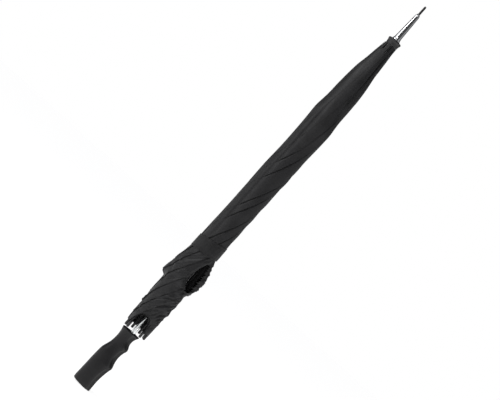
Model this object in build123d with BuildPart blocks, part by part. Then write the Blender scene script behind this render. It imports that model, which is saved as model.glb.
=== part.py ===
"""Full-length golf umbrella, rolled and strapped shut.

Z runs along the shaft with the ferrule up, and Z = 0 is the grip's flat end. X is the side with the
finger grooves. All dimensions are in millimetres. Eight ribs hang from the crown, each with a
stretcher down to the runner, and the canopy panels lie round them as the closed roll.
"""

import os
from math import cos, radians, sin, tan

from build123d import *

os.makedirs("parts", exist_ok=True)

# Driving dimensions
TOTAL = 1000.0
RIBS = 8
STEP = 360.0 / RIBS
FIRST = STEP / 2
RUN_FIT = 0.3
SEAT_FIT = 0.03

SHAFT_R = 5.3
SHAFT_BORE = 4.4
SHAFT_FOOT = 30.0
SHAFT_TOP = 935.0

GRIP_TOP = 142.0
CROWN_Z = 890.0
CROWN_R = 12.2
CROWN_LOW = 884.0
CROWN_HIGH = 897.0
CAP_R = 14.3
CAP_HIGH = 911.0
FERRULE_HIGH = 979.6
TIP_FOOT = 958.0
TIP_SHANK_R = 1.9
TIP_PIN_R = 2.35

PIVOT_R = 9.0
SPLAY = 1.065
RIB_LENGTH = 742.0
LINK = 328.0
ROD_R = 1.5
EYE_R = 2.1
EYE_HOLE = 0.8
WIRE_R = 0.5
SLOT_W = 3.6

PIN_R = 0.9
LAP = 0.1
KNUCKLE_R = 2.6
FORK_IN = 1.8
FORK_OUT = 2.7
FORK_LONG = 104.0
BRIDGE = 8.0
BAR_DEEP = 2.6

TIP_R = 2.75
TIP_LONG = 24.0

RUNNER_LOW = 186.0
RUNNER_HIGH = 240.0
RUNNER_R = 8.2
HUB_R = 12.6
KEYWAY_R = 9.0
HUB_LOW = 228.0

CATCH_W = 2.6
CATCH_LOW = 197.0
CATCH_HIGH = 676.0
CATCH_LONG = 17.0

ROLL_R = 30.4
ROLL_WALL = 2.6
ROLL_LOW = 156.0
PANEL_SPLIT = 562.0
PANEL_GAP = 0.4
PANEL_ARC = 44.2

STRAP_Z = 367.0
STRAP_W = 32.0
STRAP_IN = 30.8
STRAP_OUT = 32.3
TAB_IN = 32.7
TAB_OUT = 34.0
TAB_START = 62.0
TAB_ARC = 55.0


def runner_z():
    """The height of the stretchers' lower pivots when the umbrella is shut."""
    return CROWN_Z - 2 * LINK * cos(radians(SPLAY))


def rib_plane():
    """Origin at the crown pivot, Z down the rib, X outward from the shaft, Y along the pivot."""
    lean = radians(SPLAY)
    return Plane(
        origin=(PIVOT_R, 0, CROWN_Z),
        x_dir=(cos(lean), 0, sin(lean)),
        z_dir=(sin(lean), 0, -cos(lean)),
    )


def stretcher_plane():
    """Origin at the pivot on the rib, Z down the stretcher, X outward, Y along the pivot."""
    lean = radians(SPLAY)
    return Plane(
        origin=(PIVOT_R + LINK * sin(lean), 0, CROWN_Z - LINK * cos(lean)),
        x_dir=(cos(lean), 0, -sin(lean)),
        z_dir=(-sin(lean), 0, -cos(lean)),
    )


def save(solid, name):
    solid.label = name
    export_step(solid, f"parts/{name}.step")


# Grip: (height, back edge, finger edge, half width across the grooves)
GRIP_SECTIONS = (
    (0.0, -29.2, 12.4, 16.6),
    (3.0, -30.0, 13.2, 17.6),
    (16.0, -29.9, 12.0, 18.0),
    (39.0, -29.4, 13.0, 18.4),
    (52.0, -29.2, 14.9, 18.4),
    (62.0, -29.0, 17.0, 18.0),
    (68.0, -28.8, 15.9, 17.6),
    (77.0, -28.2, 13.4, 17.0),
    (87.0, -26.6, 12.3, 16.2),
    (98.0, -23.0, 13.4, 15.4),
    (108.0, -20.9, 16.2, 15.0),
    (113.0, -20.5, 14.6, 14.8),
    (122.0, -20.3, 11.6, 14.8),
    (132.0, -21.3, 12.5, 15.6),
    (138.0, -22.6, 14.8, 17.0),
    (GRIP_TOP, -23.6, 17.2, 18.6),
)
with BuildPart() as grip:
    for height, back, front, half in GRIP_SECTIONS:
        with BuildSketch(Plane.XY.offset(height)):
            with Locations(((back + front) / 2, 0)):
                Ellipse((front - back) / 2, half)
    loft()
    with Locations((0, 0, SHAFT_FOOT)):
        Cylinder(
            SHAFT_R + SEAT_FIT,
            TOTAL,
            align=(Align.CENTER, Align.CENTER, Align.MIN),
            mode=Mode.SUBTRACT,
        )
save(grip.part, "grip")

# Shaft: a chromed steel tube with a window for each catch
with BuildPart() as shaft:
    with BuildSketch(Plane.XY.offset(SHAFT_FOOT)):
        Circle(SHAFT_R)
        Circle(SHAFT_BORE, mode=Mode.SUBTRACT)
    extrude(amount=SHAFT_TOP - SHAFT_FOOT)
    for low in (CATCH_LOW, CATCH_HIGH):
        with Locations((-SHAFT_R, 0, low - RUN_FIT)):
            Box(
                4.0,
                CATCH_W + 2 * RUN_FIT,
                CATCH_LONG + 2 * RUN_FIT,
                align=(Align.CENTER, Align.CENTER, Align.MIN),
                mode=Mode.SUBTRACT,
            )
save(shaft.part, "shaft")

# Crown: a slotted disc with a ring of wire that the ribs turn on
with BuildPart() as crown:
    with BuildSketch(Plane.XY.offset(CROWN_LOW)):
        Circle(CROWN_R)
        Circle(SHAFT_R + SEAT_FIT, mode=Mode.SUBTRACT)
    extrude(amount=CROWN_HIGH - CROWN_LOW)
    fillet(crown.edges().filter_by(GeomType.CIRCLE).sort_by(Axis.Z)[:1], 0.4)
    with PolarLocations(0, RIBS, start_angle=FIRST):
        with Locations((PIVOT_R - EYE_R - RUN_FIT, 0, CROWN_LOW - 1)):
            Box(
                12.0,
                SLOT_W,
                CROWN_Z + EYE_R + RUN_FIT + 1 - CROWN_LOW,
                align=(Align.MIN, Align.CENTER, Align.MIN),
                mode=Mode.SUBTRACT,
            )
    with Locations((0, 0, CROWN_Z)):
        Torus(PIVOT_R, WIRE_R)
save(crown.part, "crown")

# Canopy cap: the black ring that clamps the cloth on the crown
with BuildPart() as canopy_cap:
    with BuildSketch(Plane.XZ):
        with BuildLine():
            Polyline(
                (SHAFT_R + SEAT_FIT, CROWN_HIGH),
                (CAP_R - 0.5, CROWN_HIGH),
                (CAP_R, CROWN_HIGH + 1.0),
                (CAP_R, CAP_HIGH - 4.0),
                (CAP_R - 1.2, CAP_HIGH - 1.0),
                (CAP_R - 3.2, CAP_HIGH),
                (SHAFT_R + SEAT_FIT, CAP_HIGH),
                close=True,
            )
        make_face()
    revolve(axis=Axis.Z)
save(canopy_cap.part, "canopy_cap")

# Ferrule: a tapered chrome tube with a flared foot, and a slim dark tip
with BuildPart() as ferrule:
    with BuildSketch(Plane.XZ):
        with BuildLine():
            Polyline(
                (0, SHAFT_TOP),
                (SHAFT_R + SEAT_FIT, SHAFT_TOP),
                (SHAFT_R + SEAT_FIT, CAP_HIGH),
                (8.8, CAP_HIGH),
                (8.8, 913.0),
                (7.4, 916.5),
                (6.8, 921.0),
                (6.5, 930.0),
                (4.9, 972.0),
                (4.5, 976.0),
                (3.4, 979.0),
                (TIP_SHANK_R + SEAT_FIT, FERRULE_HIGH),
                (TIP_SHANK_R + SEAT_FIT, TIP_FOOT),
                (0, TIP_FOOT),
                close=True,
            )
        make_face()
    revolve(axis=Axis.Z)
save(ferrule.part, "ferrule")

with BuildPart() as ferrule_tip:
    with BuildSketch(Plane.XY.offset(TIP_FOOT)):
        Circle(TIP_SHANK_R)
    extrude(amount=FERRULE_HIGH - TIP_FOOT)
    with BuildSketch(Plane.XY.offset(FERRULE_HIGH)):
        Circle(TIP_PIN_R)
    extrude(amount=TOTAL - FERRULE_HIGH)
    fillet(ferrule_tip.edges().filter_by(GeomType.CIRCLE).sort_by(Axis.Z)[-1:], 0.5)
save(ferrule_tip.part, "ferrule_tip")

# Runner: a sleeve with a slotted hub, a ring of wire and a keyway that passes over the catches
with BuildPart() as runner:
    with BuildSketch(Plane.XY.offset(RUNNER_LOW)):
        Circle(RUNNER_R)
    extrude(amount=RUNNER_HIGH - RUNNER_LOW)
    with BuildSketch(Plane.XY.offset(RUNNER_LOW)):
        Circle(RUNNER_R + 2.0)
    extrude(amount=5.0)
    with BuildSketch(Plane.XY.offset(HUB_LOW)):
        Circle(HUB_R)
    extrude(amount=RUNNER_HIGH - HUB_LOW)
    with PolarLocations(0, RIBS, start_angle=FIRST):
        with Locations((PIVOT_R - EYE_R - RUN_FIT, 0, runner_z() - EYE_R - RUN_FIT)):
            Box(
                12.0,
                SLOT_W,
                40.0,
                align=(Align.MIN, Align.CENTER, Align.MIN),
                mode=Mode.SUBTRACT,
            )
    with Locations((0, 0, RUNNER_LOW - 1)):
        Cylinder(
            SHAFT_R + RUN_FIT,
            RUNNER_HIGH,
            align=(Align.CENTER, Align.CENTER, Align.MIN),
            mode=Mode.SUBTRACT,
        )
    with Locations((0, 0, RUNNER_LOW - 1)):
        Box(
            KEYWAY_R,
            CATCH_W + 1.0,
            RUNNER_HIGH,
            align=(Align.MAX, Align.CENTER, Align.MIN),
            mode=Mode.SUBTRACT,
        )
    with Locations((0, 0, runner_z())):
        Torus(PIVOT_R, WIRE_R)
save(runner.part, "runner")

# Catches: sprung wedges in the shaft that hold the runner down, and up under its lower edge
for name, low in (("lower_catch", CATCH_LOW), ("upper_catch", CATCH_HIGH)):
    with BuildPart() as catch:
        with BuildSketch(Plane.XZ):
            with BuildLine():
                Polyline(
                    (-1.2, low),
                    (-SHAFT_R, low),
                    (-8.6, low + CATCH_LONG - 3.0),
                    (-8.6, low + CATCH_LONG),
                    (-1.2, low + CATCH_LONG),
                    close=True,
                )
            make_face()
        extrude(amount=CATCH_W / 2, both=True)
    save(catch.part, name)

# Inner rib: crown eye, rod and the half knuckle with the pin that the stretcher turns on
with BuildPart(rib_plane()) as inner_rib:
    Cylinder(EYE_R, 2 * ROD_R, rotation=(90, 0, 0))
    with Locations((0, 0, 1.0)):
        Cylinder(ROD_R, LINK - 2.0, align=(Align.CENTER, Align.CENTER, Align.MIN))
    with Locations((0, 0, LINK)):
        Cylinder(KNUCKLE_R + 0.4, 10.0, rotation=(90, 0, 0), mode=Mode.SUBTRACT)
        with Locations((0, -(ROD_R + LAP) / 2, 0)):
            Cylinder(KNUCKLE_R, ROD_R - LAP, rotation=(90, 0, 0))
        with Locations((0, -(ROD_R + LAP) / 2, -3.0)):
            Box(2 * ROD_R - 0.6, ROD_R - LAP, 5.0)
        Cylinder(PIN_R, 2 * FORK_OUT + 0.6, rotation=(90, 0, 0))
    Cylinder(EYE_HOLE, 10.0, rotation=(90, 0, 0), mode=Mode.SUBTRACT)

# Outer rib: the other half knuckle and the rod out to the tip
with BuildPart(rib_plane()) as outer_rib:
    with Locations((0, 0, LINK + 1.0)):
        Cylinder(
            ROD_R,
            RIB_LENGTH - TIP_LONG - LINK - 1.0,
            align=(Align.CENTER, Align.CENTER, Align.MIN),
        )
    with Locations((0, 0, LINK)):
        Cylinder(KNUCKLE_R + 0.4, 10.0, rotation=(90, 0, 0), mode=Mode.SUBTRACT)
        with Locations((0, (ROD_R + LAP) / 2, 0)):
            Cylinder(KNUCKLE_R, ROD_R - LAP, rotation=(90, 0, 0))
        with Locations((0, (ROD_R + LAP) / 2, 3.0)):
            Box(2 * ROD_R - 0.6, ROD_R - LAP, 5.0)
        Cylinder(PIN_R + 0.1, 10.0, rotation=(90, 0, 0), mode=Mode.SUBTRACT)

# Rib tip: the black plastic end that the canopy's corner is sewn to
with BuildPart(rib_plane()) as tip:
    with Locations((0, 0, RIB_LENGTH - TIP_LONG)):
        Cylinder(TIP_R, TIP_LONG, align=(Align.CENTER, Align.CENTER, Align.MIN))
    fillet(tip.edges().filter_by(GeomType.CIRCLE), 0.7)

# Stretcher: a fork that straddles the rib, and a bar down to the runner's eye
with BuildPart(stretcher_plane()) as link:
    for side in (-1, 1):
        with Locations((0, side * (FORK_IN + FORK_OUT) / 2, 0)):
            Box(
                BAR_DEEP,
                FORK_OUT - FORK_IN,
                FORK_LONG,
                align=(Align.CENTER, Align.CENTER, Align.MIN),
            )
            Cylinder(BAR_DEEP / 2, FORK_OUT - FORK_IN, rotation=(90, 0, 0))
    with Locations((0, 0, FORK_LONG)):
        Box(
            BAR_DEEP,
            2 * FORK_OUT,
            BRIDGE,
            align=(Align.CENTER, Align.CENTER, Align.MIN),
        )
    with Locations((0, 0, FORK_LONG + BRIDGE)):
        Box(
            BAR_DEEP,
            2 * ROD_R,
            LINK - FORK_LONG - BRIDGE - 1.0,
            align=(Align.CENTER, Align.CENTER, Align.MIN),
        )
    with Locations((0, 0, LINK)):
        Cylinder(EYE_R, 2 * ROD_R, rotation=(90, 0, 0))
        Cylinder(EYE_HOLE, 10.0, rotation=(90, 0, 0), mode=Mode.SUBTRACT)
    Cylinder(PIN_R + 0.1, 10.0, rotation=(90, 0, 0), mode=Mode.SUBTRACT)

# Canopy: one closed shell of the roll per gore, in an inner and an outer length
with BuildPart() as inner_panel:
    with BuildSketch(Plane.XZ):
        with BuildLine():
            Polyline(
                (ROLL_R - ROLL_WALL, PANEL_SPLIT + PANEL_GAP),
                (ROLL_R, PANEL_SPLIT + PANEL_GAP),
                (ROLL_R, 700.0),
                (27.8, 775.0),
                (22.6, 835.0),
                (16.8, 875.0),
                (15.2, 893.0),
                (13.2, 893.0),
                (13.6, 874.0),
                (20.0, 833.0),
                (25.2, 773.0),
                (ROLL_R - ROLL_WALL, 698.0),
                close=True,
            )
        make_face()
    revolve(axis=Axis.Z, revolution_arc=PANEL_ARC)

with BuildPart() as outer_panel:
    with BuildSketch(Plane.XZ):
        with BuildLine():
            Polyline(
                (26.4, 176.0),
                (26.4, ROLL_LOW),
                (28.0, ROLL_LOW),
                (ROLL_R, 200.0),
                (ROLL_R, PANEL_SPLIT - PANEL_GAP),
                (ROLL_R - ROLL_WALL, PANEL_SPLIT - PANEL_GAP),
                (ROLL_R - ROLL_WALL, 202.0),
                close=True,
            )
        make_face()
    revolve(axis=Axis.Z, revolution_arc=PANEL_ARC)

REPEATED = (
    ("rib", inner_rib, 0.0),
    ("rib_end", outer_rib, 0.0),
    ("rib_tip", tip, 0.0),
    ("stretcher", link, 0.0),
    ("canopy_panel", inner_panel, (STEP - PANEL_ARC) / 2),
    ("canopy_edge", outer_panel, (STEP - PANEL_ARC) / 2),
)
for index in range(RIBS):
    for stem, pattern, turn in REPEATED:
        with BuildPart() as piece:
            add(pattern.part.rotate(Axis.Z, FIRST + STEP * index + turn))
        save(piece.part, f"{stem}_{index + 1}")

# Tie strap: a band of the canopy's cloth round the roll, with a hook-and-loop end
with BuildPart() as tie_strap:
    with BuildSketch(Plane.XY.offset(STRAP_Z - STRAP_W / 2)):
        Circle(STRAP_OUT)
        Circle(STRAP_IN, mode=Mode.SUBTRACT)
    extrude(amount=STRAP_W)
save(tie_strap.part, "tie_strap")

with BuildPart() as tie_tab:
    with BuildSketch(Plane.XZ):
        with Locations(((TAB_IN + TAB_OUT) / 2, STRAP_Z)):
            Rectangle(TAB_OUT - TAB_IN, STRAP_W - 6.0)
    revolve(axis=Axis.Z, revolution_arc=TAB_ARC)
with BuildPart() as tab_placed:
    add(tie_tab.part.rotate(Axis.Z, TAB_START))
save(tab_placed.part, "tie_tab")
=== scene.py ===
"""Golf umbrella, rolled and strapped shut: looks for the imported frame. Z runs up the shaft, X points to
the grip's finger side and -Y to the camera. The camera, the lights, the linkage and the open gores are in
metres. The grip, the turned pieces, the roll and the strap are worked out in millimetres, times MM."""

from math import cos, pi, radians, sin

import bmesh
import bpy
import numpy as np
from mathutils import Matrix, Vector


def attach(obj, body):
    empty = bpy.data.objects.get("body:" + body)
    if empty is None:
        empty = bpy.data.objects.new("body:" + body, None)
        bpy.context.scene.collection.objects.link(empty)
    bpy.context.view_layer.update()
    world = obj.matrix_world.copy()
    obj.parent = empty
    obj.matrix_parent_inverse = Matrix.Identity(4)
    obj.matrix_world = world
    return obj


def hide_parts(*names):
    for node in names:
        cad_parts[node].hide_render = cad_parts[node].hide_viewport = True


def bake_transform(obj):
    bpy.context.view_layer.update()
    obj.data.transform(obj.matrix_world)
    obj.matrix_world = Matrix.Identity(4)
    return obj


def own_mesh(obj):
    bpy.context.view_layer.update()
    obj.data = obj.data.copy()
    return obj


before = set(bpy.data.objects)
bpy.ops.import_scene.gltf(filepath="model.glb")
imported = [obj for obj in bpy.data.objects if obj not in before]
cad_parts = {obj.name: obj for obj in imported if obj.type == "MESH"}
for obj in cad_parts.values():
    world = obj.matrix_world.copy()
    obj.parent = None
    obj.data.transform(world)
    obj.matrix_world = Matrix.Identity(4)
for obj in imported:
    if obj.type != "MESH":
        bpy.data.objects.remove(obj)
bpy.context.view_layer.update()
MM = 0.001
RIBS = 8
STEP = 2 * pi / RIBS
# The bearing of -Y, where the camera is
FRONT = -pi / 2

# ---------------------------------------------------------------- camera, light and floor
# How steeply the shaft rises in the picture, how wide the picture is at the shaft, and the camera's place
LEAN = radians(48.03)
VIEW_W = 0.9783
DISTANCE = 3.0
CAMERA_X, CAMERA_Z = -0.0032, 0.489
SENSOR_MM = 36.0
camera_data = bpy.data.cameras.new("camera")
camera_data.sensor_width = SENSOR_MM
camera_data.lens = SENSOR_MM * DISTANCE / VIEW_W
camera_data.clip_end = 60.0
camera = bpy.data.objects.new("camera", camera_data)
right = Vector((sin(LEAN), 0, cos(LEAN)))
up = Vector((-cos(LEAN), 0, sin(LEAN)))
back = right.cross(up)
turn = Matrix((right, up, back)).transposed().to_4x4()
camera.matrix_world = Matrix.Translation(Vector((CAMERA_X, -DISTANCE, CAMERA_Z))) @ turn
bpy.context.scene.collection.objects.link(camera)
bpy.context.scene.camera = camera
bpy.context.scene.view_settings.view_transform = "Standard"

# Place from -Y (0) to +Y (1), and the grey there of the world that surfaces reflect
SKY_GREYS = ((0.22, 0.1), (0.36, 0.5), (0.55, 0.34), (0.7, 0.06))
BLUER = 1.02
world = bpy.data.worlds.new("studio")
bpy.context.scene.world = world
world.use_nodes = True
sky = world.node_tree
background = sky.nodes["Background"]
background.inputs["Strength"].default_value = 1.0
where = sky.nodes.new("ShaderNodeTexCoord")
split = sky.nodes.new("ShaderNodeSeparateXYZ")
ramp = sky.nodes.new("ShaderNodeValToRGB")
ramp.color_ramp.elements[0].position = 0.0
ramp.color_ramp.elements[0].color = (0.09, 0.09, 0.092, 1)
ramp.color_ramp.elements[1].position = 1.0
ramp.color_ramp.elements[1].color = (0.05, 0.05, 0.055, 1)
for position, level in SKY_GREYS:
    ramp.color_ramp.elements.new(position).color = (level, level, level * BLUER, 1)
shift = sky.nodes.new("ShaderNodeMapRange")
shift.inputs["From Min"].default_value = -1
paper_white = sky.nodes.new("ShaderNodeBackground")
rays = sky.nodes.new("ShaderNodeLightPath")
both = sky.nodes.new("ShaderNodeMixShader")
sky.links.new(where.outputs["Generated"], split.inputs[0])
sky.links.new(split.outputs["Y"], shift.inputs["Value"])
sky.links.new(shift.outputs[0], ramp.inputs[0])
sky.links.new(ramp.outputs[0], background.inputs["Color"])
paper_white.inputs["Color"].default_value = (1, 1, 1, 1)
sky.links.new(rays.outputs["Is Camera Ray"], both.inputs[0])
sky.links.new(background.outputs[0], both.inputs[1])
sky.links.new(paper_white.outputs[0], both.inputs[2])
sky.links.new(both.outputs[0], sky.nodes["World Output"].inputs["Surface"])


def area_light(name, place, target, size, power):
    data = bpy.data.lights.new(name, "AREA")
    data.shape = "RECTANGLE"
    data.size, data.size_y = size
    data.energy = power
    lamp = bpy.data.objects.new(name, data)
    lamp.location = place
    aim = Vector(target) - Vector(place)
    lamp.rotation_euler = aim.to_track_quat("-Z", "Y").to_euler()
    bpy.context.scene.collection.objects.link(lamp)


area_light("left", (-2.1, -1.1, 1.7), (0, 0, 0.5), (0.6, 1.5), 27)
area_light("right", (1.3, -0.95, 0.06), (0, 0, 0.05), (0.3, 0.35), 2.6)
area_light("front", (-0.9, -2.4, 2.5), (0, 0, 0.4), (0.8, 0.8), 13)

FLOOR_HALF, FLOOR_DROP, PAPER_GLOW = 9, 0.0005, 0.86
corners = ((-1, -1), (1, -1), (1, 1), (-1, 1))
floor_mesh = bpy.data.meshes.new("floor")
floor_mesh.from_pydata([(x * FLOOR_HALF, y * FLOOR_HALF, 0) for x, y in corners], [], [(0, 1, 2, 3)])
floor = bpy.data.objects.new("floor", floor_mesh)
bpy.context.scene.collection.objects.link(floor)
floor.location.z = -FLOOR_DROP
paper = bpy.data.materials.new("paper")
paper.use_nodes = True
paper_shader = paper.node_tree.nodes["Principled BSDF"]
paper_shader.inputs["Base Color"].default_value = (0.6, 0.6, 0.6, 1)
paper_shader.inputs["Roughness"].default_value = 0.9
paper_shader.inputs["Emission Color"].default_value = (1, 1, 1, 1)
paper_shader.inputs["Emission Strength"].default_value = PAPER_GLOW
floor_mesh.materials.append(paper)


# ---------------------------------------------------------------- materials
class Looks:
    """A Principled material whose colour, roughness and bump come from noise in object space."""

    def __init__(self, name, **fixed):
        self.material = bpy.data.materials.new(name)
        self.material.use_nodes = True
        self.tree = self.material.node_tree
        self.shader = self.tree.nodes["Principled BSDF"]
        self.place = self.node("ShaderNodeTexCoord").outputs["Object"]
        self.height = None
        for key, value in fixed.items():
            self.shader.inputs[key.replace("_", " ")].default_value = value

    def node(self, kind, **values):
        made = self.tree.nodes.new(kind)
        for key, value in values.items():
            if key in made.inputs:
                made.inputs[key].default_value = value
            else:
                setattr(made, key, value)
        return made

    def link(self, a, b):
        self.tree.links.new(a, b)

    def noise(self, scale, detail=3.0, stretch=(1, 1, 1)):
        mapping = self.node("ShaderNodeMapping", Scale=stretch)
        texture = self.node("ShaderNodeTexNoise", Scale=scale, Detail=detail)
        self.link(self.place, mapping.inputs[0])
        self.link(mapping.outputs[0], texture.inputs["Vector"])
        return texture.outputs["Fac"]

    def wave(self, scale, direction):
        texture = self.node("ShaderNodeTexWave", Scale=scale)
        texture.bands_direction = direction
        self.link(self.place, texture.inputs["Vector"])
        return texture.outputs["Fac"]

    def ramp(self, value, low, high, start=0.3, stop=0.7):
        found = self.node("ShaderNodeValToRGB")
        found.color_ramp.elements[0].position = start
        found.color_ramp.elements[1].position = stop
        found.color_ramp.elements[0].color = (*low, 1)
        found.color_ramp.elements[1].color = (*high, 1)
        self.link(value, found.inputs[0])
        return found.outputs[0]

    def colour(self, value, low, high, start=0.3, stop=0.7):
        self.link(self.ramp(value, low, high, start, stop), self.shader.inputs["Base Color"])
        return self

    def rough(self, value, low, high):
        span = self.node("ShaderNodeMapRange")
        span.inputs["To Min"].default_value = low
        span.inputs["To Max"].default_value = high
        self.link(value, span.inputs["Value"])
        self.link(span.outputs[0], self.shader.inputs["Roughness"])
        return self

    def bump(self, value, strength, distance):
        made = self.node("ShaderNodeBump", Strength=strength, Distance=distance)
        self.link(value, made.inputs["Height"])
        if self.height:
            self.link(self.height, made.inputs["Normal"])
        self.height = made.outputs[0]
        self.link(self.height, self.shader.inputs["Normal"])
        return self


cloth = Looks("pongee", Sheen_Weight=0.06, Sheen_Roughness=0.45, Specular_IOR_Level=0.3)
cloth.colour(cloth.noise(38, 5), (0.0085, 0.0085, 0.0092), (0.0165, 0.0165, 0.0175))
cloth.rough(cloth.noise(160, 3), 0.42, 0.6)
weave = cloth.node("ShaderNodeMath", operation="MULTIPLY")
cloth.link(cloth.wave(900, "Z"), weave.inputs[0])
cloth.link(cloth.wave(900, "X"), weave.inputs[1])
cloth.bump(weave.outputs[0], 0.12, 0.0002)
cloth.bump(cloth.noise(120, 4, (1, 1, 0.35)), 0.22, 0.0008)

webbing = Looks("strap_cloth", Sheen_Weight=0.1, Sheen_Roughness=0.5, Specular_IOR_Level=0.25)
webbing.colour(webbing.noise(60, 4), (0.0068, 0.0068, 0.0073), (0.0125, 0.0125, 0.0133))
webbing.rough(webbing.noise(200, 3), 0.5, 0.66)
webbing.bump(webbing.wave(1100, "Z"), 0.2, 0.0002)
webbing.bump(webbing.noise(150, 4), 0.2, 0.0007)

soft_grip = Looks("soft_grip", Specular_IOR_Level=0.32)
soft_grip.colour(soft_grip.noise(22, 4), (0.0045, 0.0043, 0.005), (0.008, 0.0078, 0.0088))
soft_grip.rough(soft_grip.noise(70, 4), 0.34, 0.47)
soft_grip.bump(soft_grip.noise(1500, 2), 0.05, 0.0001)

chrome = Looks("chrome", Metallic=1.0)
chrome.colour(chrome.noise(30, 3), (0.56, 0.57, 0.58), (0.66, 0.67, 0.68))
chrome.rough(chrome.noise(240, 3, (1, 1, 0.06)), 0.07, 0.16)
chrome.bump(chrome.noise(500, 2, (1, 1, 0.02)), 0.012, 0.0001)

tip_black = Looks("tip_plastic", Specular_IOR_Level=0.5)
tip_black.colour(tip_black.noise(90, 4), (0.006, 0.006, 0.006), (0.016, 0.016, 0.017))
tip_black.rough(tip_black.noise(180, 3), 0.22, 0.38)
tip_black.bump(tip_black.noise(700, 2), 0.08, 0.0002)

hub_black = Looks("hub_plastic")
hub_black.colour(hub_black.noise(80, 4), (0.006, 0.006, 0.007), (0.014, 0.014, 0.015))
hub_black.rough(hub_black.noise(150, 3), 0.36, 0.55)
hub_black.bump(hub_black.noise(800, 2), 0.1, 0.0002)

lacquer = Looks("black_lacquer", Metallic=0.35, Coat_Weight=0.25, Coat_Roughness=0.2)
lacquer.colour(lacquer.noise(120, 4), (0.018, 0.018, 0.02), (0.04, 0.04, 0.042))
lacquer.rough(lacquer.noise(260, 3, (1, 1, 0.1)), 0.28, 0.42)
lacquer.bump(lacquer.noise(900, 2), 0.06, 0.0001)

shaft_steel = Looks("shaft_steel", Metallic=1.0)
shaft_steel.colour(shaft_steel.noise(40, 3), (0.66, 0.68, 0.68), (0.8, 0.82, 0.82))
shaft_steel.rough(shaft_steel.noise(300, 3, (1, 1, 0.05)), 0.2, 0.34)
shaft_steel.bump(shaft_steel.noise(500, 2, (1, 1, 0.02)), 0.02, 0.0001)

plated = Looks("plated_steel", Metallic=1.0)
plated.colour(plated.noise(200, 3), (0.42, 0.42, 0.43), (0.58, 0.58, 0.59))
plated.rough(plated.noise(400, 2, (1, 1, 0.1)), 0.2, 0.35)
plated.bump(plated.noise(1500, 2), 0.08, 0.0001)

NODE_LOOKS = {
    "shaft": shaft_steel,
    "crown": hub_black,
    "runner": hub_black,
    "lower_catch": plated,
    "upper_catch": plated,
    "stretcher": lacquer,
    "rib": lacquer,
    "rib_end": lacquer,
    "rib_tip": tip_black,
}
for name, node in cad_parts.items():
    stem = name.rstrip("0123456789_")
    if name in NODE_LOOKS or stem in NODE_LOOKS:
        look = NODE_LOOKS.get(name) or NODE_LOOKS[stem]
        for slot in node.material_slots:
            slot.material = look.material


# ---------------------------------------------------------------- mesh helpers
def piece(name, points, faces, look, normals=None):
    """A smooth mesh object, facing outward by itself unless it is given a normal for each point."""
    mesh = bpy.data.meshes.new(name)
    mesh.from_pydata([tuple(p) for p in points], [], [tuple(f) for f in faces])
    mesh.materials.append(look.material)
    mesh.validate()
    if normals is None:
        shell = bmesh.new()
        shell.from_mesh(mesh)
        bmesh.ops.recalc_face_normals(shell, faces=shell.faces)
        shell.to_mesh(mesh)
        shell.free()
    mesh.shade_smooth()
    if normals is not None:
        mesh.normals_split_custom_set_from_vertices([tuple(n) for n in normals])
    made = bpy.data.objects.new(name, mesh)
    bpy.context.scene.collection.objects.link(made)
    return made


def grid_faces(rows, columns, wrap=False):
    """The quads of a grid of points, going on from the last column to the first one if wrap is set."""
    faces = []
    for r in range(rows - 1):
        low, high = r * columns, (r + 1) * columns
        for c in range(columns if wrap else columns - 1):
            d = (c + 1) % columns
            faces.append((low + c, low + d, high + d, high + c))
    return faces


def lathe(name, profile, look, segments=48):
    """A turned piece round the shaft's axis from (radius, height) pairs in millimetres."""
    angles = np.arange(segments) * 2 * pi / segments
    points = [
        (r * MM * cos(a), r * MM * sin(a), z * MM) for r, z in profile for a in angles
    ]
    return piece(name, points, grid_faces(len(profile), segments, True), look)


def eased(table, at):
    """Catmull-Rom through a table's (position, value, ...) rows."""
    table = np.array(table, float)
    x, y = table[:, 0], table[:, 1:]
    slope = np.gradient(y, x, axis=0)
    at = np.clip(np.atleast_1d(at), x[0], x[-1])
    i = np.clip(np.searchsorted(x, at, side="right") - 1, 0, len(x) - 2)
    h = (x[i + 1] - x[i])[:, None]
    t = (at - x[i])[:, None] / h
    a = 2 * t**3 - 3 * t**2 + 1
    b = t**3 - 2 * t**2 + t
    return a * y[i] + b * h * slope[i] + (1 - a) * y[i + 1] + (t**3 - t**2) * h * slope[i + 1]


def bell(value, centre, width):
    """A smooth hump that is 1 at its centre."""
    return np.exp(-(((value - centre) / width) ** 2))


def rise(value, start, stop):
    """A smooth step from 0 at start to 1 at stop."""
    t = np.clip((value - start) / (stop - start), 0, 1)
    return t * t * (3 - 2 * t)


def plateau(value, start, full, fading, gone):
    """A smooth step up to 1 and down to 0 again."""
    return rise(value, start, full) * (1 - rise(value, fading, gone))


def around(angle):
    """The same angle between minus half a turn and half a turn."""
    return (angle + pi) % (2 * pi) - pi


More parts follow.
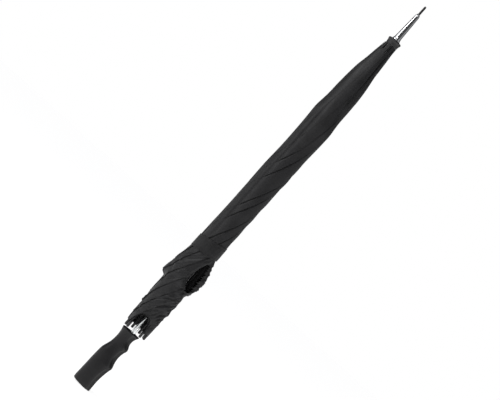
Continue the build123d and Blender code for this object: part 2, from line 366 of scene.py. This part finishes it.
# ---------------------------------------------------------------- grip
# Height, back edge, finger edge, half width, and where the front facet's edge runs, in millimetres
GRIP = (
    (0.0, -29.6, 12.6, 17.2, 4.0),
    (8.0, -30.0, 12.4, 17.9, 4.6),
    (20.0, -29.8, 11.9, 18.1, 3.2),
    (34.0, -29.5, 12.5, 18.3, 3.2),
    (46.0, -29.3, 13.9, 18.3, 5.0),
    (56.0, -29.2, 15.8, 18.1, 8.0),
    (62.5, -29.0, 17.2, 17.9, 12.0),
    (66.0, -28.9, 16.3, 17.7, 10.5),
    (74.0, -28.5, 13.9, 17.2, 6.0),
    (84.0, -27.4, 12.4, 16.5, 4.0),
    (91.0, -25.2, 12.5, 15.9, 4.0),
    (100.0, -22.4, 14.0, 15.3, 6.0),
    (108.5, -20.9, 16.4, 15.0, 10.0),
    (112.0, -20.6, 15.4, 14.9, 8.0),
    (118.0, -20.3, 12.6, 14.8, 4.0),
    (125.0, -20.5, 11.5, 15.0, 2.0),
    (133.0, -21.5, 12.6, 15.8, 2.0),
    (138.5, -22.9, 15.0, 17.2, 3.0),
    (142.0, -24.0, 17.6, 18.9, 4.0),
)
GRIP_TOP = GRIP[-1][0]
GRIP_LEVELS = 160
# The section's points round one side's body, facet and nose
BODY_STEPS, FACET_STEPS, NOSE_STEPS = 60, 16, 8
# How square the body is along X and Y, and how its points crowd toward the facet
SQUARE_X, SQUARE_Y, CROWDING = 0.92, 0.84, 1.3
# The nose's share of the half width and its depth, and how hollow the facet beside it is
NOSE_SHARE, NOSE_DEPTH, FACET_HOLLOW, FACET_CROWDING = 0.46, 0.9, 0.09, 1.4
# The rounded lower edge's height and depth, and the bevel at the upper end
LOW_EDGE, LOW_INSET = 1.6, 1.4
BEVEL_FROM, BEVEL_SLOPE = GRIP_TOP - 1.2, 0.8
# The lower end is cut aslant: how far it rises at the back, and where that has died out
ASLANT, ASLANT_TOP = 2.7, 30
grip_heights = np.linspace(0, GRIP_TOP, GRIP_LEVELS)
grip_rows = eased(GRIP, grip_heights)


def half_section(back_x, front_x, half, ridge):
    """One side of the grip's cross-section, from the middle of the finger side round to the back."""
    mid, reach = (back_x + front_x) / 2, (front_x - back_x) / 2
    first = np.arccos(np.clip((ridge - mid) / reach, 0.05, 0.98) ** (1 / SQUARE_X))
    a = first + (pi - first) * np.linspace(0, 1, BODY_STEPS) ** CROWDING
    c = np.cos(a)
    body_x = mid + reach * np.sign(c) * np.abs(c) ** SQUARE_X
    body_y = half * np.sin(np.clip(a, 0, pi)) ** SQUARE_Y
    nose_y = NOSE_SHARE * half
    t = np.linspace(0, 1, NOSE_STEPS, endpoint=False)
    nose = front_x - NOSE_DEPTH * t**2, nose_y * t
    t = np.linspace(0, 1, FACET_STEPS, endpoint=False)
    t = 1 - (1 - t) ** FACET_CROWDING
    facet_x = front_x - NOSE_DEPTH + (body_x[0] - front_x + NOSE_DEPTH) * t
    facet_y = nose_y + (body_y[0] - nose_y) * t - FACET_HOLLOW * half * np.sin(pi * t)
    return (
        np.concatenate((nose[0], facet_x, body_x)),
        np.concatenate((nose[1], facet_y, body_y)),
    )


def end_inset(z):
    """How far the section draws in at this height: rounded at the lower end, bevelled at the upper."""
    if z < LOW_EDGE:
        return LOW_INSET - (LOW_INSET**2 - (LOW_INSET - z * LOW_INSET / LOW_EDGE) ** 2) ** 0.5
    return max(z - BEVEL_FROM, 0.0) * BEVEL_SLOPE


grip_points = []
for z, (back_x, front_x, half, ridge) in zip(grip_heights, grip_rows):
    inset = end_inset(z)
    xs, ys = half_section(back_x + inset, front_x - inset, half - inset, ridge)
    tilt = ASLANT * (front_x - xs) / (front_x - back_x) * max(0.0, 1 - z / ASLANT_TOP) ** 2
    ring = [*zip(xs, ys, tilt), *zip(xs[-2:0:-1], -ys[-2:0:-1], tilt[-2:0:-1])]
    grip_points += [(x * MM, y * MM, (z + raised) * MM) for x, y, raised in ring]
ring_size = len(ring)
grip_faces = grid_faces(GRIP_LEVELS, ring_size, True)
for level in (0, GRIP_LEVELS - 1):
    centre = len(grip_points)
    base = level * ring_size
    grip_points.append(tuple(np.array(grip_points[base : base + ring_size]).mean(axis=0)))
    for k in range(ring_size):
        pair = (base + k, base + (k + 1) % ring_size)
        grip_faces.append((centre, *(pair[::-1] if level == 0 else pair)))
grip = piece("grip_body", grip_points, grip_faces, soft_grip)
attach(grip, "root")
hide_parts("grip")

# ---------------------------------------------------------------- ferrule, tip and cap
ferrule = lathe(
    "ferrule_turned",
    (
        (5.4, 911.2), (8.5, 911.2), (8.8, 911.6), (8.8, 912.8), (8.3, 914.2), (7.6, 916.0),
        (7.2, 918.4), (6.95, 921.5), (6.75, 926), (6.5, 932), (6.1, 942), (5.7, 953),
        (5.3, 963), (5.0, 970), (4.85, 973.5), (4.5, 975.6), (3.9, 977.4), (3.2, 978.8),
        (2.5, 979.5), (1.9, 979.6),
    ),
    chrome,
    64,
)
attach(ferrule, "root")
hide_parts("ferrule")
tip = lathe(
    "tip_pin",
    (
        (2.0, 975.0), (2.35, 979.2), (2.35, 985.0), (2.3, 990.0), (2.28, 996.5),
        (2.1, 998.6), (1.6, 999.6), (0.8, 1000.0), (0.01, 1000.0),
    ),
    tip_black,
    40,
)
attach(tip, "root")
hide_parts("ferrule_tip")
cap = lathe(
    "cap_ring",
    (
        (5.4, 896.6), (12.4, 896.6), (12.9, 898.6), (13.3, 902.4), (13.8, 905.4), (14.5, 907.0),
        (14.9, 908.2), (14.8, 909.4), (14.0, 910.4), (12.4, 911.0), (9.6, 911.1), (5.4, 911.1),
    ),
    hub_black,
    64,
)
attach(cap, "root")
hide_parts("canopy_cap")


# ---------------------------------------------------------------- the linkage's geometry
# The crown pivots' height and radius, a closed rib's slope, its length to the joint and its whole length
CROWN_Z, PIVOT_R, SPLAY, LINK, RIB_L = 0.890, 0.009, radians(1.065), 0.328, 0.742
# How far a rib swings open, and how far its outer length bends back then
OPEN, FLEX = radians(76), radians(24)
# How far the open cloth lies outside the rib's line, and its arch above that on the inner or outer length
CLOTH_UP = 0.0032
ARCH = {False: 0.006, True: 0.003}
# A direction that no tube runs along
SKEW = (0.3, 0.2, 0.9)
AXIS_TOP = np.array((0, 0, CROWN_Z))


def rib_angle(i):
    return STEP * (i + 0.5)


def spin(axis, angle, through=(0, 0, 0)):
    """Rotation by angle about the line through a point, as (matrix, shift)."""
    matrix = np.array(Matrix.Rotation(angle, 3, Vector(axis)))
    through = np.array(through, float)
    return matrix, through - matrix @ through


def after(second, first):
    """One move after another, as a single move."""
    return second[0] @ first[0], second[0] @ first[1] + second[1]


def back_again(move):
    inverse = move[0].T
    return inverse, -inverse @ move[1]


def moved(move, points):
    return points @ move[0].T + move[1]


def rib_frame(i):
    """A rib's crown pivot, its line, its outward normal, its sideways direction and its pivot axis."""
    a = rib_angle(i)
    radial = np.array((cos(a), sin(a), 0))
    side = np.array((-sin(a), cos(a), 0))
    down = radial * sin(SPLAY) - np.array((0, 0, cos(SPLAY)))
    outward = radial * cos(SPLAY) + np.array((0, 0, sin(SPLAY)))
    return radial * PIVOT_R + AXIS_TOP, down, outward, side, -side


def crown_of(length, outer):
    """How far the open cloth arches above its rib's straight line, so that the dome is round."""
    t = (length - LINK) / (RIB_L - LINK) if outer else length / LINK
    return ARCH[outer] * 4 * t * (1 - t)


def tube(name, path, radius, look, sides=12):
    """A closed rod along a path, with one radius or a radius for each point."""
    path = np.array(path)
    along = np.gradient(path, axis=0)
    along /= np.linalg.norm(along, axis=1)[:, None]
    level = np.cross(along, SKEW)
    level /= np.linalg.norm(level, axis=1)[:, None]
    other = np.cross(along, level)
    radius = np.broadcast_to(radius, len(path))
    points = []
    for p, u, v, r in zip(path, level, other, radius):
        for k in range(sides):
            a = 2 * pi * k / sides
            points.append(p + r * (cos(a) * u + sin(a) * v))
    faces = grid_faces(len(path), sides, True)
    faces.append(tuple(range(sides))[::-1])
    faces.append(tuple((len(path) - 1) * sides + k for k in range(sides)))
    return piece(name, points, faces, look)


# ---------------------------------------------------------------- open gores, furled inside the roll
# Length of the line along which an open gore passes from its rib's body to its fan hinge's body
LATERAL = 0.008
HALVINGS = 50


def unstep(w):
    """Where a smooth step from 0 to 1 reaches w."""
    return 0.5 - np.sin(np.arcsin(1 - 2 * w) / 3)


def furl(target, angle):
    """For points of the open gore beside the rib at this angle: how far each has turned, 0 to 1."""
    bearing = around(np.arctan2(target[:, 1], target[:, 0]) - angle)
    radius = np.hypot(target[:, 0], target[:, 1])
    low, high = np.zeros(len(target)), np.ones(len(target))
    for _ in range(HALVINGS):
        w = (low + high) / 2
        lateral = np.arcsin(np.clip(LATERAL * unstep(w) / radius, -1, 1))
        short = STEP * w + lateral < bearing
        low, high = np.where(short, w, low), np.where(short, high, w)
    return (low + high) / 2


# Points across and along a gore
GORE_U, GORE_V = 25, 25
# How far the hem stays short of the rib's end, and how deeply it curves in between two ribs
HEM_IN, SCALLOP = 0.008, 0.05
# How far the outer gore laps over the rib's joint, and where the inner one starts and how long it is
KNEE_LAP, INNER_START, INNER_RUN = 0.001, 0.004, LINK - 0.002
# The open cloth's sag between ribs, by radius, and the place down the rib of the line above
SAG, BLEND_AT = 0.018, 0.3
across = np.linspace(0, 1, GORE_U)


def gore(i, outer):
    """One gore, inside or outside the ribs' joints: shaped open, then moved back to where it is furled."""
    pivot, down, outward, side, axis = rib_frame(i)
    knee = pivot + LINK * down
    opened = spin(axis, OPEN, pivot)
    if outer:
        opened = after(opened, spin(axis, -FLEX, knee))
    shut = back_again(opened)
    points = []
    for v in np.linspace(0, 1, GORE_V):
        if outer:
            ends = RIB_L - HEM_IN - SCALLOP * 4 * across * (1 - across)
            length = LINK - KNEE_LAP + v * (ends - LINK + KNEE_LAP)
        else:
            length = np.full(GORE_U, INNER_START + v * INNER_RUN)
        height = CLOTH_UP + np.array([crown_of(x, outer) for x in length])
        rest = pivot + length[:, None] * down + height[:, None] * outward
        near = moved(opened, rest)
        far = moved(spin((0, 0, 1), STEP), near)
        target = near + across[:, None] * (far - near)
        dip = np.sin(pi * across) * np.hypot(near[:, 0], near[:, 1]) * SAG
        target[:, 2] -= dip
        turned = furl(target, rib_angle(i))
        for p, w in zip(target, turned):
            q = moved(spin((0, 0, 1), -STEP * w), p[None])[0]
            points.append(moved(shut, q[None])[0])
    name = f"gore_{'outer' if outer else 'inner'}_{i + 1}"
    made = piece(name, points, grid_faces(GORE_V, GORE_U), cloth)
    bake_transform(made)
    return made


gores = {(i, outer): gore(i, outer) for i in range(RIBS) for outer in (False, True)}

# ---------------------------------------------------------------- the roll
# Height, and the roll's radius toward the grip's back and finger sides, in millimetres
ROLL = (
    (150.0, 25.5, 25.6), (165.0, 27.0, 26.4), (182.0, 29.0, 26.6), (205.0, 29.6, 27.4),
    (230.0, 30.7, 28.4), (262.0, 31.6, 29.4), (285.0, 33.8, 31.8), (305.0, 33.4, 32.0),
    (325.0, 32.2, 30.4), (345.0, 31.4, 28.6), (368.0, 31.0, 28.2), (395.0, 30.6, 28.0),
    (430.0, 29.9, 27.5), (500.0, 29.9, 27.5), (560.0, 30.5, 28.2), (615.0, 29.2, 27.8),
    (660.0, 30.0, 29.6), (690.0, 31.0, 29.6), (712.0, 32.0, 26.6), (745.0, 29.2, 25.6),
    (780.0, 28.4, 24.8), (805.0, 27.2, 22.6), (828.0, 25.2, 18.7), (850.0, 21.2, 16.1),
    (873.0, 18.0, 14.2), (890.0, 15.5, 13.2), (897.5, 14.6, 12.9),
)
# Height, and how far the fold edges have wound round the roll there, in degrees
WIND = (
    (150, 545), (250, 440), (330, 358), (400, 289), (450, 239), (500, 189), (560, 130),
    (590, 103), (620, 80), (660, 60), (705, 42), (760, 26), (820, 12), (898, 0),
)
# Bearing of each gore's fold edge at the roll's top, in degrees from -Y
FOLDS = np.radians((119, 191, 222, 279, 319, 359, 401, 441))
# The roll's grid from just below the hem to its top, and about the height of the ribs' joints, which
# parts the gores
ROLL_FOOT, ROLL_TOP, SPLIT_Z = 150, 897.0, 561.5
# How far a fold edge stands above the cloth it lies on
LAYER = 1.25
# The crown's height, a rib's length to its joint and the crown pivots' radius, in millimetres
CROWN_MM, LINK_MM, PIVOT_MM = (round(x / MM) for x in (CROWN_Z, LINK, PIVOT_R))
rng = np.random.default_rng(7)


def roll_radius(angle, z):
    """The radius of the roll before folds and wrinkles."""
    left, right_side = eased(ROLL, z.ravel()).T.reshape(2, *z.shape)
    turned = np.cos(angle)
    wide = np.where(turned > 0, right_side, left)
    deep = (left + right_side) / 2
    return 1 / np.sqrt((turned / wide) ** 2 + (np.sin(angle) / deep) ** 2)


# Number round the roll, slope along it, phase and size
WAVES = [
    (rng.integers(2, 7), rng.uniform(-0.03, 0.05), rng.uniform(0, 6.28), rng.uniform(0.5, 1))
    for _ in range(10)
]
WAVE_DEPTH = 0.16
# Height, bearing, lean, depth, width and length; every fifth crease leans the other way
CREASES = [
    (rng.uniform(165, 350), rng.uniform(-pi, pi),
     radians(rng.normal(-26, 9)) if n % 5 < 4 else radians(rng.normal(52, 10)),
     rng.uniform(1.3, 3.0), rng.uniform(1.6, 3.4), rng.uniform(10, 24))
    for n in range(84)
]
# The radius that turns a crease's bearing into a distance, and the ridge beside its groove: how high it
# is, how far off and how wide, as shares of the groove's depth and width
CREASE_R, RIDGE_HIGH, RIDGE_OFF, RIDGE_WIDE = 29, 0.55, 1.9, 1.4
# The heights where the corner stands out most and where it has died away, and its bearing
CORNER_LOW, CORNER_TOP, CORNER_SIDE = 275, 346, -98
# The open fold's lower end and length, and the bearings of its rims where it is shut
POCKET_LOW, POCKET_LONG, POCKET_LEFT, POCKET_RIGHT = 264, 88, 52, 62


def pocket(side, z):
    """The open fold under the strap: how wide it gapes, its hollow and its outer rim, 0 to 1."""
    mouth = np.sin(pi * np.clip((z - POCKET_LOW) / POCKET_LONG, 0, 1) ** 0.8)
    left_rim, right_rim = POCKET_LEFT - 44 * mouth**0.9, POCKET_RIGHT + 5 * mouth
    hollow = rise(side, left_rim, left_rim + 14) * (side < right_rim + 3)
    return mouth, hollow, plateau(side, right_rim - 3, right_rim + 6, 98, 150)


def waves(angle, z):
    """Slow swells that keep the roll from being smooth."""
    total = np.zeros(z.shape)
    for turns, slope, phase, size in WAVES:
        total += WAVE_DEPTH * size * np.sin(turns * (angle - FRONT) + slope * z + phase)
    return total


def wrinkles(angle, side, z):
    """The short creases of the loose cloth below the strap, which are faint round the corner."""
    total = np.zeros(z.shape)
    loose = 1 - rise(z, 330, 372)
    quiet = 1 - 0.9 * bell(side, CORNER_SIDE, 34) * rise(z, 240, 262)
    for height, at, lean, depth, width, length in CREASES:
        x, y = CREASE_R * around(angle - at), z - height
        along, off = x * cos(lean) + y * sin(lean), y * cos(lean) - x * sin(lean)
        fade = depth * loose * bell(along, 0, length) * quiet
        ridge = RIDGE_HIGH * bell(off, RIDGE_OFF * width, RIDGE_WIDE * width)
        total += fade * (ridge - bell(off, 0, width))
    return total


def long_crease(side, z):
    """The groove that runs up the tight cloth left of the middle, with a swell beside it."""
    return plateau(z, 380, 405, 690, 760) * (0.9 * bell(side, -48, 15) - 2.1 * bell(side, -29, 5.0))


def strap_pinch(z):
    """The cloth drawn in where the strap goes round."""
    return -1.1 * bell(z, 368, 15)


def corner(side, z):
    """The corner of cloth that stands out on the left below the strap, sharp at its lower edge."""
    fall = np.clip((CORNER_TOP - z) / (CORNER_TOP - CORNER_LOW), 0, 1)
    size = np.where(z > CORNER_LOW, fall, 1 - rise(CORNER_LOW - z, 0, 9))
    wide = 10 + 26 * np.clip((z - CORNER_LOW) / 70, 0, 1)
    return 9.0 * size**1.3 * bell(side, CORNER_SIDE, wide)


def open_fold(side, z):
    """The hollow of the open fold and the rim of cloth that stands out to the right of it."""
    mouth, hollow, rim = pocket(side, z)
    return 8.2 * mouth * rim - 7.0 * mouth**0.7 * hollow * (1 - rise(side, 50, 58))


def top_fold(side, z):
    """The valley and the fold beside it near the cap, right of the middle."""
    upper = rise(z, 690, 760)
    valley = 3.6 * upper * bell(side, 33, 6) * (1 - rise(z, 860, 900))
    return 2.6 * upper * bell(side, 46, 7) * (1 - rise(z, 840, 890)) - valley


def relief(angle, z):
    """Folds and wrinkles of the whole roll, in millimetres."""
    side = np.degrees(around(angle - FRONT))
    return (
        waves(angle, z) + wrinkles(angle, side, z) + long_crease(side, z) + strap_pinch(z)
        + corner(side, z) + open_fold(side, z) + top_fold(side, z)
    )


def cloth_width(z):
    """Half a gore's width at this height, in millimetres."""
    inner_slope, outer_slope, knee_reach, narrowest = radians(77.1), radians(53.1), 328.7, 5.0
    length = CROWN_MM - z
    reach = np.where(
        length < LINK_MM,
        PIVOT_MM + length * sin(inner_slope),
        knee_reach + (length - LINK_MM) * sin(outer_slope),
    )
    return np.maximum(reach * sin(STEP / 2), narrowest)


# Bearing of each rib's tip at rest, in degrees from -Y, and the tip where the hem's high arch starts
TIP_OF_RIB = (114.0, 157.5, -157.5, -112.5, -69.0, -45.0, 38.7, 84.0)
TIPS = sorted(TIP_OF_RIB)
ARCH_TIP = -45.0
# The hem's height at the tips, the high arch's rise and the other arches', and how flat-topped they are
HEM_Z, HIGH_ARCH, LOW_ARCH, ARCH_POWER = 153, 36, 5, 3.6


def hem(angle):
    """The lowest height of the cloth at each angle: low at the tips, and arched between them."""
    side = np.degrees(around(angle - FRONT))
    edges = np.array((*TIPS, TIPS[0] + 360))
    side = np.where(side < edges[0], side + 360, side)
    n = np.clip(np.searchsorted(edges, side, side="right") - 1, 0, RIBS - 1)
    wide = edges[n + 1] - edges[n]
    x = np.abs(2 * (side - edges[n]) / wide - 1)
    return HEM_Z + np.where(np.abs(edges[n] - ARCH_TIP) < 1, HIGH_ARCH, LOW_ARCH) * (1 - x**ARCH_POWER)


# Levels of a wound gore from foot to top, and its columns by the angle from its fold edge, which are
# close together where the cloth can be seen
LEVELS = np.concatenate((np.arange(0, 1, 1 / 165), [1.0]))
COLUMNS = np.radians(np.concatenate(((0, 0.35, 1.0, 2.0), np.arange(4, 90, 3.4), np.arange(92, 560, 23))))
# Past this angle a quad with a corner in the open fold's hole is left out
HIDDEN_FROM = radians(90)
roll_parts = {(i, outer): [[], [], []] for i in range(RIBS) for outer in (False, True)}


def layer_lift(beta, gap, side, z, under):
    """How far a wound gore stands off the roll, and how much of a layer's thickness it has there."""
    thin = 1 - 0.75 * rise(z, 800, 890)
    high = rise(z, 590, 650)
    smooth_from, smooth_to = -35 + 35 * high, -12 + 52 * high
    thin *= 1 - 0.93 * rise(z, 385, 400) * (1 - rise(side, smooth_from, smooth_to))
    lift = LAYER * thin * (1 - beta / gap)
    lift = np.where(beta > gap, -0.22 * thin * (beta - gap) / gap, lift)
    lift -= 1.4 * rise(beta, gap + 0.05, gap + 0.5)
    lift += 0.25 * thin * bell(beta, radians(3.0), radians(3.0))
    tight = rise(z, 335, 372)
    thin *= 0.6 + 0.4 * tight
    lift -= (0.6 + 2.0 * tight) * thin * bell(beta, gap - radians(1.6), radians(2.6))
    if under:
        lift -= 0.5 * rise(beta, 0.0, radians(3.0)) * thin
    return lift, thin


def wound_gore(fold, gap, under):
    """One layer of a gore as a grid: points, outward normals, angles from the fold edge, and which
    points are cut away, in all and by the open fold's hole."""
    v, beta = np.meshgrid(LEVELS, COLUMNS, indexing="ij")
    z = ROLL_FOOT + v * (ROLL_TOP - ROLL_FOOT)
    span = cloth_width(z) / (roll_radius(np.zeros_like(z), z) - 2)
    beta = np.minimum(beta, span)
    angle = FRONT + fold - np.radians(eased(WIND, z.ravel())[:, 0].reshape(z.shape)) - beta
    edge = hem(angle)
    below = z < edge
    z = np.maximum(z, edge)
    side = np.degrees(around(angle - FRONT))
    mouth, hollow, _ = pocket(side, z)
    hole = (hollow > 0.75) & (mouth > 0.3)
    lift, thin = layer_lift(beta, gap, side, z, under)
    radius = roll_radius(angle, z) - LAYER * thin + lift + relief(angle, z)
    points = np.stack((radius * np.cos(angle), radius * np.sin(angle), z), axis=-1) * MM
    normal = np.cross(np.gradient(points, axis=1), np.gradient(points, axis=0))
    normal /= np.maximum(np.linalg.norm(normal, axis=-1), 1e-12)[..., None]
    outside = (normal * points * (1, 1, 0)).sum(axis=-1)
    normal *= np.where(outside < 0, -1, 1)[..., None]
    return points, normal, beta, below | hole, hole


def share_out(points, normal, beta, cut, hole):
    """Gives each quad of a wound gore to the roll piece of the rib and the length it lies at."""
    rows, columns = beta.shape
    for r in range(rows - 1):
        for c in range(columns - 1):
            corners = ((r, c), (r, c + 1), (r + 1, c + 1), (r + 1, c))
            if beta[r, c] == beta[r, c + 1] and beta[r + 1, c] == beta[r + 1, c + 1]:
                continue
            if all(cut[x] for x in corners):
                continue
            if beta[r, c + 1] > HIDDEN_FROM and any(hole[x] for x in corners):
                continue
            quad = np.array([points[x] for x in corners])
            middle = quad.mean(axis=0)
            sector = int((np.arctan2(middle[1], middle[0]) % (2 * pi)) // STEP)
            part = roll_parts[(sector, middle[2] < SPLIT_Z * MM)]
            facing = np.cross(quad[2] - quad[0], quad[3] - quad[1]) @ normal[r, c]
            order = (0, 1, 2, 3) if facing > 0 else (3, 2, 1, 0)
            base = len(part[0])
            part[0].extend(quad)
            part[1].extend(normal[x] for x in corners)
            part[2].append(tuple(base + x for x in order))


for k, fold in enumerate(FOLDS):
    gap = fold - FOLDS[k - 1] if k else fold - FOLDS[-1] + 2 * pi
    for under in (False, True):
        share_out(*wound_gore(fold, gap, under))


def joined(points, normals, faces):
    """The same faces with shared corners, which are the ones at the same place with the same normal."""
    places_per_metre, steps_per_normal = 1e6, 50
    keys, found, order = {}, [], []
    for p, n in zip(points, normals):
        key = (
            *np.round(p * places_per_metre).astype(int),
            *np.round(n * steps_per_normal).astype(int),
        )
        if key not in keys:
            keys[key] = len(found)
            found.append((p, n))
        order.append(keys[key])
    faces = [tuple(dict.fromkeys(order[x] for x in f)) for f in faces]
    faces = [f for f in faces if len(f) > 2]
    return [p for p, _ in found], [n for _, n in found], faces


# The roll's pieces, inside and outside the ribs' joints, each hung on its rib's body
for (i, outer), (points, normals, faces) in roll_parts.items():
    points, normals, faces = joined(points, normals, faces)
    name = f"roll_{'outer' if outer else 'inner'}_{i + 1}"
    made = piece(name, points, faces, cloth, normals)
    pivot, down, outward, side, axis = rib_frame(i)
    body = f"rib_end_{i + 1}" if outer else f"rib_{i + 1}"
    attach(made, body)
    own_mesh(made)
    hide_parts(f"canopy_{'edge' if outer else 'panel'}_{i + 1}")

# ---------------------------------------------------------------- outer ribs and their tips
# The tips' distance from the shaft's axis and height at rest, the wire's radius, and where along a rib
# its bend toward the tip starts
TIP_R, TIP_Z, WIRE_R, BEND_FROM = 0.0240, 0.146, 0.0015, 0.4
# Place along the rib and radius, in metres, of the sleeve just past the joint
SLEEVE = ((0.3295, 0.0016), (0.3305, 0.0021), (0.3405, 0.0021), (0.3415, 0.0016))
# Distance from the end and radius, in millimetres, of a plastic tip
TIP_SHAPE = (
    (-26, 1.5), (-25.6, 2.0), (-24, 2.2), (-15, 2.35), (-13.5, 2.75), (-12, 2.85), (-4, 2.9),
    (-2, 2.85), (-0.7, 2.5), (-0.1, 1.7), (0, 0.5),
)
for i in range(RIBS):
    pivot, down, outward, side, axis = rib_frame(i)
    aim = radians(TIP_OF_RIB[i]) + FRONT
    end = np.array((TIP_R * cos(aim), TIP_R * sin(aim), TIP_Z))
    straight = pivot + RIB_L * down
    lengths = np.linspace(LINK, RIB_L, 60)
    bend = rise(lengths, BEND_FROM, RIB_L) ** 1.2
    line = pivot + lengths[:, None] * down + bend[:, None] * (end - straight)
    wire = tube(f"rib_wire_{i + 1}", line[:-3], WIRE_R, lacquer)
    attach(wire, f"rib_end_{i + 1}")
    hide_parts(f"rib_end_{i + 1}")
    sleeve = tube(
        f"rib_joint_{i + 1}", [pivot + x * down for x, _ in SLEEVE], [r for _, r in SLEEVE], tip_black
    )
    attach(sleeve, f"rib_end_{i + 1}")
    lean = (line[-1] - line[-4]) / np.linalg.norm(line[-1] - line[-4])
    cover = tube(
        f"rib_cover_{i + 1}", [end + x * MM * lean for x, _ in TIP_SHAPE],
        [r * MM for _, r in TIP_SHAPE], tip_black, 24,
    )
    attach(cover, f"rib_end_{i + 1}")
    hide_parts(f"rib_tip_{i + 1}")


# ---------------------------------------------------------------- tie strap and its tab
# Place across a band as a share of its width, and height as a share of its thickness: rounded edges,
# and a groove along each where it is sewn
BAND_SECTION = (
    (-0.5, 0.15), (-0.5, 0.75), (-0.485, 1.0), (-0.44, 1.06), (-0.40, 0.86), (-0.36, 1.0),
    (-0.18, 1.02), (0.0, 1.0), (0.18, 1.02), (0.36, 1.0), (0.40, 0.86), (0.44, 1.06),
    (0.485, 1.0), (0.5, 0.75), (0.5, 0.15),
)
# Where a swelling band is widest, in radians from -Y, and how much of the roll's relief it follows
WIDEST, FOLLOWS = 0.9, 0.55
# The strap's middle height, and how far its middle tilts
STRAP_Z, STRAP_TILT = 367, 4.5


def band(name, middle, width, start, stop, lift, thick, tilt, look, body, steps=120, swell=0.0):
    """A flat strip of doubled cloth round the roll, from one bearing to another or all the way."""
    closed = bool(np.isclose(stop - start, 2 * pi))
    points = []
    angles = np.linspace(start, stop, steps, endpoint=not closed)
    for a in angles:
        wide = width * (1 + swell * cos(a - FRONT - WIDEST))
        for across_it, height in BAND_SECTION:
            z = middle + tilt * sin(a - FRONT) + across_it * wide
            z_one, a_one = np.array([z]), np.array([a])
            r = roll_radius(a_one, z_one)[0] + FOLLOWS * relief(a_one, np.array([middle]))[0]
            r += lift + thick * height
            r += 0.22 * sin(9 * a + 0.11 * z) + 0.16 * sin(23 * a - 0.2 * z)
            points.append((r * cos(a) * MM, r * sin(a) * MM, z * MM))
    columns = len(BAND_SECTION)
    faces = grid_faces(steps, columns)
    if closed:
        last = (steps - 1) * columns
        faces += [(last + c, last + c + 1, c + 1, c) for c in range(columns - 1)]
    else:
        faces += [tuple(range(columns)), tuple((steps - 1) * columns + c for c in range(columns))[::-1]]
    faces += [
        (r * columns, r * columns + columns - 1, ((r + 1) % steps) * columns + columns - 1,
         ((r + 1) % steps) * columns)
        for r in range(steps if closed else steps - 1)
    ]
    made = piece(name, points, faces, look)
    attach(made, body)
    return made


strap = band(
    "tie_strap_band", STRAP_Z, 30, 0, 2 * pi, 0.1, 1.1, STRAP_TILT, webbing, "rib_end_1", swell=0.08
)
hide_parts("tie_strap")
pivot, down, outward, side, axis = rib_frame(0)
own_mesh(strap)
tab = band(
    "tie_tab_end", STRAP_Z, 25, radians(63), radians(116), 1.5, 1.0, 0.0, webbing, "tie_tab", 30
)
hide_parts("tie_tab")
